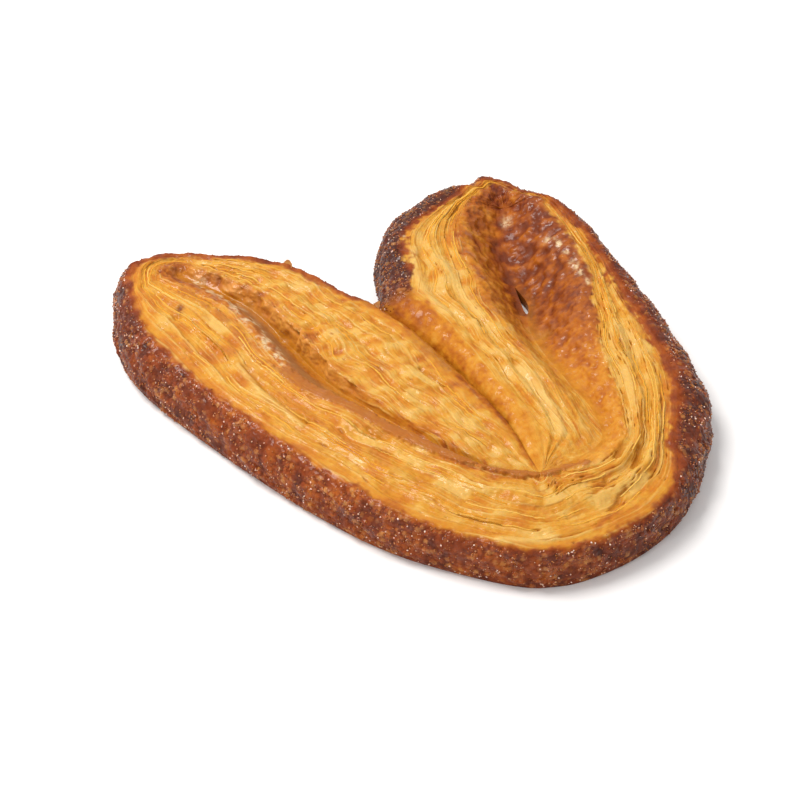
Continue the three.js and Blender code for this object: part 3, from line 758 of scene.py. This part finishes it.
def strip(name, stations, rows, material):
    """A closed piece of the band between two rows and two stations."""
    part = surface[stations[0]:stations[1] + 1, rows[0]:rows[1] + 1]
    inner = np.stack([part[:, -1], part[:, 0]], axis=1)
    if rows[1] == LAST_ROW:
        flare = 0.4 * slit_opening[stations[0]:stations[1] + 1, None] * cut["inward"][stations[0]:stations[1] + 1]
        inner[:, 0, :2] -= flare
    inner[..., 2] = np.minimum(FLOOR_OF_PIECES, part[:, [-1, 0], 2])
    ring = np.concatenate([part, inner], axis=1)
    count, around = ring.shape[:2]
    index = np.arange(count * around).reshape(count, around)
    beside = np.roll(index, -1, axis=1)
    quads = np.stack([index[:-1], index[1:], beside[1:], beside[:-1]], axis=-1).reshape(-1, 4)
    faces = quads.tolist() + [index[0].tolist(), index[-1][::-1].tolist()]

    def piece_map(values):
        values = values[stations[0]:stations[1] + 1, rows[0]:rows[1] + 1]
        return np.concatenate([values, values[:, -1:], values[:, :1]], axis=1).reshape(count * around, -1)

    maps = {
        "tone": ("FLOAT_COLOR", piece_map(tone)), "gloss": ("FLOAT", piece_map(gloss)),
        "run": ("FLOAT", piece_map(along)), "across": ("FLOAT", piece_map(covered)),
        "grain": ("FLOAT", piece_map(crustness * grained * smooth(from_foot, 0.6, 1.6))),
    }
    made = cleaned(mesh_of(name, ring.reshape(-1, 3), faces, maps))
    made.data.materials.append(material)
    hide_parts("palmier")
    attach(made, "root")
    return made


# Materials

class Shade:
    """A shader value that can be reckoned with."""

    tree = None

    def __init__(self, socket):
        self.socket = socket

    @classmethod
    def node(cls, kind, settings=None, inputs=None, output=0):
        made = cls.tree.nodes.new(kind)
        for name, value in (settings or {}).items():
            setattr(made, name, value)
        for name, value in (inputs or {}).items():
            if isinstance(value, Shade):
                cls.tree.links.new(value.socket, made.inputs[name])
            else:
                made.inputs[name].default_value = value
        return cls(made.outputs[output])

    @classmethod
    def maths(cls, operation, *values):
        return cls.node("ShaderNodeMath", {"operation": operation}, dict(enumerate(values)))

    def __add__(self, other):
        return self.maths("ADD", self, other)

    def __radd__(self, other):
        return self.maths("ADD", other, self)

    def __sub__(self, other):
        return self.maths("SUBTRACT", self, other)

    def __rsub__(self, other):
        return self.maths("SUBTRACT", other, self)

    def __mul__(self, other):
        return self.maths("MULTIPLY", self, other)

    def __rmul__(self, other):
        return self.maths("MULTIPLY", other, self)

    def scaled(self, factors):
        """A vector times another, part by part."""
        return self.node("ShaderNodeVectorMath", {"operation": "MULTIPLY"}, {0: self, 1: factors})


def material(name, roughness, sheen, coat, scatter, bump, speckle, fibres, grain):
    """Baked dough: the piece's own colours with finer grain, a thin shine and a little light let in."""
    made = bpy.data.materials.new(name)
    made.use_nodes = True
    tree = made.node_tree
    Shade.tree = tree
    surface_shader = tree.nodes["Principled BSDF"]
    place = Shade.node("ShaderNodeTexCoord", output="Object")
    tone_map = Shade.node("ShaderNodeAttribute", {"attribute_name": "tone"}, output="Color")
    gloss_map = Shade.node("ShaderNodeAttribute", {"attribute_name": "gloss"}, output="Fac")
    run = Shade.node("ShaderNodeAttribute", {"attribute_name": "run"}, output="Fac")
    across = Shade.node("ShaderNodeAttribute", {"attribute_name": "across"}, output="Fac")
    speck = Shade.node("ShaderNodeTexNoise", {}, {"Vector": place, "Scale": 2400.0, "Detail": 3.0})
    flat = Shade.node("ShaderNodeCombineXYZ", {}, {0: run * 0.35, 1: across * 6.0})
    fibre = Shade.node("ShaderNodeTexNoise", {}, {"Vector": flat, "Scale": 1.0, "Detail": 4.0})
    crystal = Shade.node("ShaderNodeTexVoronoi", {}, {"Vector": place, "Scale": 1500.0})
    crystal_own = Shade.node("ShaderNodeTexVoronoi", {}, {"Vector": place, "Scale": 1500.0}, output="Color")
    crystal_tone = Shade.node("ShaderNodeSeparateColor", {}, {"Color": crystal_own})
    grained_map = Shade.node("ShaderNodeAttribute", {"attribute_name": "grain"}, output="Fac") * grain
    height = speck * (1 - fibres) + fibre * fibres
    brightness = (height - 0.5) * speckle + (crystal_tone - 0.5) * grained_map + 1.0
    colour = Shade.node("ShaderNodeVectorMath", {"operation": "SCALE"}, {0: tone_map, "Scale": brightness})
    tree.links.new(colour.socket, surface_shader.inputs["Base Color"])
    rough_map = roughness - gloss_map * 0.2 + (speck - 0.5) * 0.3
    tree.links.new(rough_map.socket, surface_shader.inputs["Roughness"])
    relief = height * 0.5 - crystal * grained_map * 2.4
    bumped = Shade.node("ShaderNodeBump", {}, {"Strength": bump, "Distance": 0.0003, "Height": relief})
    tree.links.new(bumped.socket, surface_shader.inputs["Normal"])
    tree.links.new((gloss_map * coat).socket, surface_shader.inputs["Coat Weight"])
    surface_shader.inputs["Coat Roughness"].default_value = 0.1
    surface_shader.inputs["Specular IOR Level"].default_value = sheen
    surface_shader.inputs["Subsurface Weight"].default_value = scatter
    surface_shader.inputs["Subsurface Radius"].default_value = (1.0, 0.45, 0.12)
    surface_shader.inputs["Subsurface Scale"].default_value = 0.0006
    return made


crust_material = material("baked_crust", 0.6, 0.1, 0.55, 0.05, 0.8, 0.35, 0.1, 0.35)
layer_material = material("cut_layers", 0.65, 0.18, 0.45, 0.2, 0.6, 0.4, 0.8, 0.0)
fold_material = material("caramel", 0.6, 0.15, 0.55, 0.1, 0.55, 0.4, 0.2, 0.15)

def inside_ring(places, ring):
    """Whether places lie inside a closed ring of corners."""
    x, y = places[:, 0], places[:, 1]
    inside = np.zeros(len(places), bool)
    for (x0, y0), (x1, y1) in zip(ring, np.roll(ring, -1, axis=0)):
        crosses = (y0 > y) != (y1 > y)
        rise = y1 - y0 if y1 != y0 else 1e-9
        inside ^= crosses & (x < (x1 - x0) * (y - y0) / rise + x0)
    return inside


def underside(material):
    """The baked bottom: a thin closed sheet inside the foot, pressed flat, with small dents."""
    from mathutils.geometry import delaunay_2d_cdt
    free = np.where(~cut["on_seam"])[0]
    ring = surface[free[::4], 0, :2] + cut["inward"][free[::4]] * 0.25
    start, end = np.array(SLIT["from"]) + MIDDLE[:2], np.array(SLIT["to"]) + MIDDLE[:2]
    reach = np.linspace(0, 1, 15)[1:-1, None]
    sideways = np.array([-(end - start)[1], (end - start)[0]]) / np.linalg.norm(end - start)
    middle_line = start + (end - start) * reach
    half = SEEN_SLIT * slit_gap(middle_line - MIDDLE[:2])[:, None] + 0.1
    leaf = np.concatenate([[start], middle_line - sideways * half, [end], (middle_line + sideways * half)[::-1]])
    spread = np.stack(np.meshgrid(np.arange(-66, 67, 1.6), np.arange(-76, 77, 1.6)), axis=-1).reshape(-1, 2)
    spread = spread + 0.5 * noise(plane(spread[:, 0] * 3, spread[:, 1] * 3), 401)[:, None]
    spread = spread[inside_ring(spread, ring) & ~inside_ring(spread, leaf)]
    corners = np.concatenate([ring, leaf, spread])
    loops = [(0, len(ring)), (len(ring), len(leaf))]
    edges = [(base + k, base + (k + 1) % count) for base, count in loops for k in range(count)]
    places, _, faces, *_ = delaunay_2d_cdt([tuple(corner) for corner in corners], edges, [], 0, 1e-5)
    places = np.array([tuple(place) for place in places])
    faces = np.array([face for face in faces if len(face) == 3])
    middles = places[faces].mean(axis=1)
    faces = faces[inside_ring(middles, ring) & ~inside_ring(middles, leaf)]
    at = plane(places[:, 0], places[:, 1])
    dent = smooth(noise(at / 6, 411) + 0.5 * noise(at / 2.2, 412), -0.2, 0.8)
    kinds = [dent * 0.28, np.full(len(places), 0.55)]
    points = np.concatenate([np.concatenate([places, z[:, None]], axis=1) for z in kinds])
    count = len(places)
    rim_edges = {}
    for face in faces.tolist():
        for a, b in zip(face, face[1:] + face[:1]):
            rim_edges[(a, b)] = (b, a)
    walls = [[a, b, b + count, a + count] for (a, b), turned in rim_edges.items() if turned not in rim_edges]
    every = [face[::-1] for face in faces.tolist()] + (faces + count).tolist() + walls
    brown = 0.55 + 0.3 * noise(at / 9, 421) + 0.25 * noise(at / 2.4, 422) - 0.35 * dent
    shades = np.tile(ramp(brown, CRUST), (2, 1))
    zeros = np.zeros(2 * count)
    maps = {
        "tone": ("FLOAT_COLOR", shades), "gloss": ("FLOAT", zeros + 0.3), "run": ("FLOAT", points[:, 0]),
        "across": ("FLOAT", points[:, 1]), "grain": ("FLOAT", zeros + 0.4),
    }
    made = cleaned(mesh_of("palmier_underside", points, every, maps))
    made.data.materials.append(material)
    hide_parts("palmier")
    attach(made, "root")


last = STATIONS - 1
strip("palmier_crust_left", (0, HALF_STATION), (0, RIM_ROW), crust_material)
strip("palmier_crust_right", (HALF_STATION, last), (0, RIM_ROW), crust_material)
strip("palmier_layers_left_outer", (0, HALF_STATION), (RIM_ROW, MIDDLE_ROW), layer_material)
strip("palmier_layers_left_inner", (0, HALF_STATION), (MIDDLE_ROW, CREST_ROW), layer_material)
strip("palmier_layers_right_outer", (HALF_STATION, last), (RIM_ROW, MIDDLE_ROW), layer_material)
strip("palmier_layers_right_inner", (HALF_STATION, last), (MIDDLE_ROW, CREST_ROW), layer_material)
strip("palmier_fold_left", (0, HALF_STATION), (CREST_ROW, LAST_ROW), fold_material)
strip("palmier_fold_right", (HALF_STATION, last), (CREST_ROW, LAST_ROW), fold_material)
underside(crust_material)


# Small things grown over the surface by Geometry Nodes

class Growth:
    """A Geometry Nodes tree written as calls; its sizes are named inputs."""

    def __init__(self, name):
        self.tree = bpy.data.node_groups.new(name, "GeometryNodeTree")
        self.values = {}
        for way in ("INPUT", "OUTPUT"):
            self.tree.interface.new_socket("Geometry", in_out=way, socket_type="NodeSocketGeometry")
        self.start = self.tree.nodes.new("NodeGroupInput")
        self.end = self.tree.nodes.new("NodeGroupOutput")
        self.base = self.start.outputs["Geometry"]

    def size(self, name, value):
        """A named input of the tree."""
        socket = self.tree.interface.new_socket(name, in_out="INPUT", socket_type="NodeSocketFloat")
        self.values[socket.identifier] = value
        return self.start.outputs[name]

    def node(self, kind, settings=None, inputs=None, output=0):
        made = self.tree.nodes.new(kind)
        for name, value in (settings or {}).items():
            setattr(made, name, value)
        for name, value in (inputs or {}).items():
            if isinstance(value, bpy.types.NodeSocket):
                self.tree.links.new(value, made.inputs[name])
            else:
                made.inputs[name].default_value = value
        return made.outputs[output]

    def random(self, low, high, seed, kind="FLOAT"):
        settings = {"data_type": kind}
        inputs = (0, 1) if kind == "FLOAT_VECTOR" else (2, 3)
        output = 0 if kind == "FLOAT_VECTOR" else 1
        return self.node("FunctionNodeRandomValue", settings, {inputs[0]: low, inputs[1]: high, "Seed": seed}, output)

    def named(self, name):
        return self.node("GeometryNodeInputNamedAttribute", {"data_type": "FLOAT"}, {"Name": name})

    def times(self, a, b):
        return self.node("ShaderNodeMath", {"operation": "MULTIPLY"}, {0: a, 1: b})

    def grown_on(self, host, name, geometry, made_of):
        """Runs the tree on the host's mesh and keeps the result as a plain mesh piece."""
        solid = self.node("GeometryNodeRealizeInstances", {}, {"Geometry": geometry})
        coloured = self.node("GeometryNodeSetMaterial", {}, {"Geometry": solid, "Material": made_of})
        self.tree.links.new(coloured, self.end.inputs[0])
        modifier = host.modifiers.new(name, "NODES")
        modifier.node_group = self.tree
        for identifier, value in self.values.items():
            modifier[identifier] = value
        seen = host.evaluated_get(bpy.context.evaluated_depsgraph_get())
        mesh = bpy.data.meshes.new_from_object(seen)
        mesh.name = name
        host.modifiers.remove(modifier)
        made = bpy.data.objects.new(name, mesh)
        bpy.context.scene.collection.objects.link(made)
        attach(made, "root")
        return made


def crystal_material():
    """Sugar crystals: most browned; the palest are pale sugar and also painted glints."""
    made = bpy.data.materials.new("sugar_crystals")
    made.use_nodes = True
    tree = made.node_tree
    Shade.tree = tree
    shader = tree.nodes["Principled BSDF"]
    shade = Shade.node("ShaderNodeAttribute", {"attribute_name": "shade"}, output="Fac")
    colour = Shade.node("ShaderNodeValToRGB", {}, {"Fac": shade})
    stops = colour.socket.node.color_ramp.elements
    # The palest stops are pale sugar and also painted glints.
    stops[0].color, stops[1].color = (0.20, 0.045, 0.006, 1), (0.84, 0.60, 0.50, 1)
    for place, value in ((0.5, (0.30, 0.08, 0.010, 1)), (0.74, (0.40, 0.13, 0.025, 1)), (0.88, (0.46, 0.19, 0.08, 1)), (0.94, (0.62, 0.36, 0.25, 1))):
        stops.new(place).color = value
    tree.links.new(colour.socket, shader.inputs["Base Color"])
    shader.inputs["Roughness"].default_value = 0.22
    shader.inputs["Specular IOR Level"].default_value = 0.5
    shader.inputs["Subsurface Weight"].default_value = 0.2
    shader.inputs["Subsurface Scale"].default_value = 0.0004
    return made


def sugar_crystals(host, name, seed, made_of):
    """Loose sugar crystals baked onto the crust."""
    grow = Growth(name)
    density = grow.times(grow.named("grain"), grow.size("Crystals per square metre", 9.0e5))
    points = grow.node("GeometryNodeDistributePointsOnFaces", {}, {"Mesh": grow.base, "Density": density, "Seed": seed})
    crystal = grow.node("GeometryNodeMeshIcoSphere", {}, {"Radius": grow.size("Crystal radius", 0.00029), "Subdivisions": 1})
    placed_crystals = grow.node("GeometryNodeInstanceOnPoints", {}, {
        "Points": points, "Instance": crystal, "Rotation": grow.random((0, 0, 0), (6.28, 6.28, 6.28), seed, "FLOAT_VECTOR"),
        "Scale": grow.random((0.5, 0.5, 0.4), (1.3, 1.1, 1.0), seed + 1, "FLOAT_VECTOR"),
    })
    shaded = grow.node("GeometryNodeStoreNamedAttribute", {"data_type": "FLOAT", "domain": "INSTANCE"}, {
        "Geometry": placed_crystals, "Name": "shade", "Value": grow.random(0.0, 1.0, seed + 2),
    })
    return grow.grown_on(host, name, shaded, made_of)


crust_pieces = [bpy.data.objects["palmier_crust_left"], bpy.data.objects["palmier_crust_right"]]
crystals = crystal_material()
for number, host in enumerate(crust_pieces):
    sugar_crystals(host, ("sugar_left", "sugar_right")[number], 3 + number, crystals)


def leaf_paths(count, sheet_count, seed):
    """Lines along the upper edges of single sheets, with a radius for the ribbon at each point."""
    rng = np.random.default_rng(seed)
    band = wave[:, RIM_ROW:CREST_ROW + 1]
    points, edges, radii, colours = [], [], [], []
    for _ in range(count):
        length = int(rng.uniform(18, 90))
        first = int(rng.uniform(10, STATIONS - length - 10))
        target = (int(rng.uniform(1, sheet_count)) + 0.86) / sheet_count
        rows = np.array([np.interp(target, band[i], np.arange(BAND_ROWS + 1)) for i in range(first, first + length)])
        at = np.arange(first, first + length)
        low = np.floor(rows).astype(int)
        reach = (rows - low)[:, None]
        inside = rows.min() > 9 and rows.max() < BAND_ROWS - 7 and legs[first + length] < 6.6
        if not inside or cut["width"][at].min() < 9 or np.abs(np.diff(rows)).max() > 1:
            continue
        if layering[at, RIM_ROW + low].min() < 0.7:
            continue
        line = mixed(surface[at, RIM_ROW + low], surface[at, RIM_ROW + low + 1], reach)
        base = len(points)
        points.extend(line.tolist())
        edges.extend([base + k, base + k + 1] for k in range(length - 1))
        radii.extend(np.sin(np.linspace(0, math.pi, length)) ** 0.5 * rng.uniform(0.5, 1.0))
        colours.extend((ramp(np.full(length, rng.uniform(0.0, 0.4)), DOUGH)).tolist())
    return np.array(points), edges, np.array(radii), np.array(colours)


def leaf_edges(name, count, sheet_count, seed, made_of):
    """Thin sheets of dough that stand up a little from their neighbours."""
    points, edges, radii, colours = leaf_paths(count, sheet_count, seed)
    mesh = bpy.data.meshes.new(name + "_paths")
    mesh.from_pydata((points * MM).tolist(), edges, [])
    attribute(mesh, "thin", "FLOAT", radii)
    attribute(mesh, "tone", "FLOAT_COLOR", colours)
    host = bpy.data.objects.new(name + "_paths", mesh)
    bpy.context.scene.collection.objects.link(host)
    grow = Growth(name)
    curve = grow.node("GeometryNodeMeshToCurve", {}, {"Mesh": grow.base})
    curve = grow.node("GeometryNodeSetCurveNormal", {"mode": "Z_UP"}, {"Curve": curve})
    curve = grow.node("GeometryNodeSetCurveRadius", {}, {"Curve": curve, "Radius": grow.named("thin")})
    profile = grow.node("GeometryNodeCurvePrimitiveQuadrilateral", {"mode": "RECTANGLE"}, {
        "Width": grow.size("Leaf height", 0.00034), "Height": grow.size("Leaf thickness", 0.00014),
    })
    ribbon = grow.node("GeometryNodeCurveToMesh", {}, {"Curve": curve, "Profile Curve": profile, "Fill Caps": True})
    uneven = grow.node("ShaderNodeTexNoise", {}, {"Scale": 600.0}, 1)
    shifted = grow.node("ShaderNodeVectorMath", {"operation": "SUBTRACT"}, {0: uneven, 1: (0.5, 0.5, 0.5)})
    moved = grow.node("ShaderNodeVectorMath", {"operation": "SCALE"}, {0: shifted, "Scale": grow.size("Ragged by", 0.0002)})
    ribbon = grow.node("GeometryNodeSetPosition", {}, {"Geometry": ribbon, "Offset": moved})
    made = grow.grown_on(host, name, ribbon, made_of)
    bpy.data.objects.remove(host)
    return made


leaf_edges("leaf_edges_thick", 60, 8, 17, layer_material)
leaf_edges("leaf_edges_thin", 110, 19, 23, layer_material)


# Flakes that stand off the surface, and crumbs

def flake(name, place, turn, tilt, length, width, toasted, seed):
    """A loose leaf of dough: a thin, curled, ragged closed sheet fixed at one end."""
    down, over = 11, 7
    reach, side = np.meshgrid(np.linspace(0, 1, down), np.linspace(-1, 1, over), indexing="ij")
    narrowing = 1 - 0.75 * reach ** 2 + 0.25 * noise(plane(reach * 5, side * 0.1, seed), seed)
    x = reach * length * (1 + 0.2 * noise(plane(side * 2, 0 * reach, seed), seed + 1))
    y = side * width / 2 * narrowing
    z = 0.35 * length * (reach * tilt - 0.4 * reach ** 2) + 0.25 * noise(plane(x * 1.2, y * 1.2, seed), seed + 2)
    turned = math.radians(turn)
    flat = np.stack([x * math.cos(turned) - y * math.sin(turned), x * math.sin(turned) + y * math.cos(turned), z], axis=-1)
    top = flat + np.array(place)
    low = top - [0, 0, 0.22]
    points = np.concatenate([top.reshape(-1, 3), low.reshape(-1, 3)])
    index = np.arange(down * over).reshape(down, over)
    quads = np.stack([index[:-1, :-1], index[1:, :-1], index[1:, 1:], index[:-1, 1:]], axis=-1).reshape(-1, 4)
    ring = np.concatenate([index[0], index[1:, -1], index[-1, -2::-1], index[-2:0:-1, 0]])
    walls = [[a, b, b + down * over, a + down * over] for a, b in zip(ring, np.roll(ring, -1))]
    faces = quads.tolist() + (quads[:, ::-1] + down * over).tolist() + np.array(walls).tolist()
    value = toasted + 0.3 * noise(points / 0.9, seed + 3)
    zeros = np.zeros(len(points))
    maps = {
        "tone": ("FLOAT_COLOR", tint(ramp(value, DOUGH), FLAKE_TAN, zeros + 0.6) * ALL_OVER),
        "gloss": ("FLOAT", zeros + 0.15), "run": ("FLOAT", points[:, 0]),
        "across": ("FLOAT", points[:, 1]), "grain": ("FLOAT", zeros),
    }
    made = cleaned(mesh_of(name, points, faces, maps))
    made.data.materials.append(layer_material)
    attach(made, "root")


flake("flake_left_top", (-16.0, 52.6, 13.3), 62, 0.9, 3.0, 2.6, 0.55, 501)
flake("flake_notch", (-1.0, 31.8, 8.4), 35, 0.7, 3.2, 2.4, 0.6, 502)
flake("flake_notch_low", (0.6, 30.2, 9.0), -20, 0.5, 2.4, 1.6, 0.4, 503)
flake("flake_left_band", (-41.0, -4.4, 14.0), 105, 0.3, 2.4, 1.6, 0.3, 504)
flake("flake_ridge", (-31.5, 4.6, 13.2), 160, 0.3, 2.2, 1.4, 0.35, 505)


# Floor, light and camera

def plain_material(name, colour, roughness):
    made = bpy.data.materials.new(name)
    made.use_nodes = True
    made.node_tree.nodes["Principled BSDF"].inputs["Base Color"].default_value = (*colour, 1)
    made.node_tree.nodes["Principled BSDF"].inputs["Roughness"].default_value = roughness
    return made


def floor():
    side = 3.0
    mesh = bpy.data.meshes.new("floor")
    mesh.from_pydata([(-side, -side, 0), (side, -side, 0), (side, side, 0), (-side, side, 0)], [], [(0, 1, 2, 3)])
    made = bpy.data.objects.new("floor", mesh)
    white = plain_material("white_floor", (0.8, 0.79, 0.79), 0.8)
    white.node_tree.nodes["Principled BSDF"].inputs["Emission Color"].default_value = (1, 0.99, 0.99, 1)
    white.node_tree.nodes["Principled BSDF"].inputs["Emission Strength"].default_value = 0.05
    mesh.materials.append(white)
    bpy.context.scene.collection.objects.link(made)
    made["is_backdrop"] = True


def area_light(name, place, aim, size, power, colour):
    from mathutils import Vector
    lamp = bpy.data.lights.new(name, "AREA")
    lamp.shape = "DISK"
    lamp.size = size
    lamp.energy = power
    lamp.color = colour
    made = bpy.data.objects.new(name, lamp)
    made.location = place
    made.rotation_euler = (Vector(place) - Vector(aim)).to_track_quat("Z", "Y").to_euler()
    bpy.context.scene.collection.objects.link(made)
    made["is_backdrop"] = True


def studio():
    world = bpy.data.worlds.new("studio")
    world.use_nodes = True
    world.node_tree.nodes["Background"].inputs["Color"].default_value = (1, 0.99, 0.98, 1)
    world.node_tree.nodes["Background"].inputs["Strength"].default_value = 0.76
    bpy.context.scene.world = world
    bpy.context.scene.view_settings.view_transform = "Standard"
    area_light("key", (-0.34, 0.34, 0.92), (0, 0, 0), 0.62, 10.5, (1, 0.98, 0.95))
    area_light("side", (-0.72, -0.3, 0.5), (0, 0, 0), 0.09, 1.0, (1, 0.99, 0.97))


def camera():
    from mathutils import Vector
    turn, rise, distance = math.radians(-28), math.radians(40), 0.6
    back = Vector((math.sin(turn) * math.cos(rise), -math.cos(turn) * math.cos(rise), math.sin(rise)))
    data = bpy.data.cameras.new("camera")
    data.lens, data.sensor_width = 108, 36
    made = bpy.data.objects.new("camera", data)
    made.location = Vector((-0.012309, -0.003726, 0.008)) + back * distance
    made.rotation_euler = back.to_track_quat("Z", "Y").to_euler()
    bpy.context.scene.collection.objects.link(made)
    bpy.context.scene.camera = made


floor()
studio()
camera()

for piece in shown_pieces():
    print("PIECE", piece.name, len(piece.data.polygons))
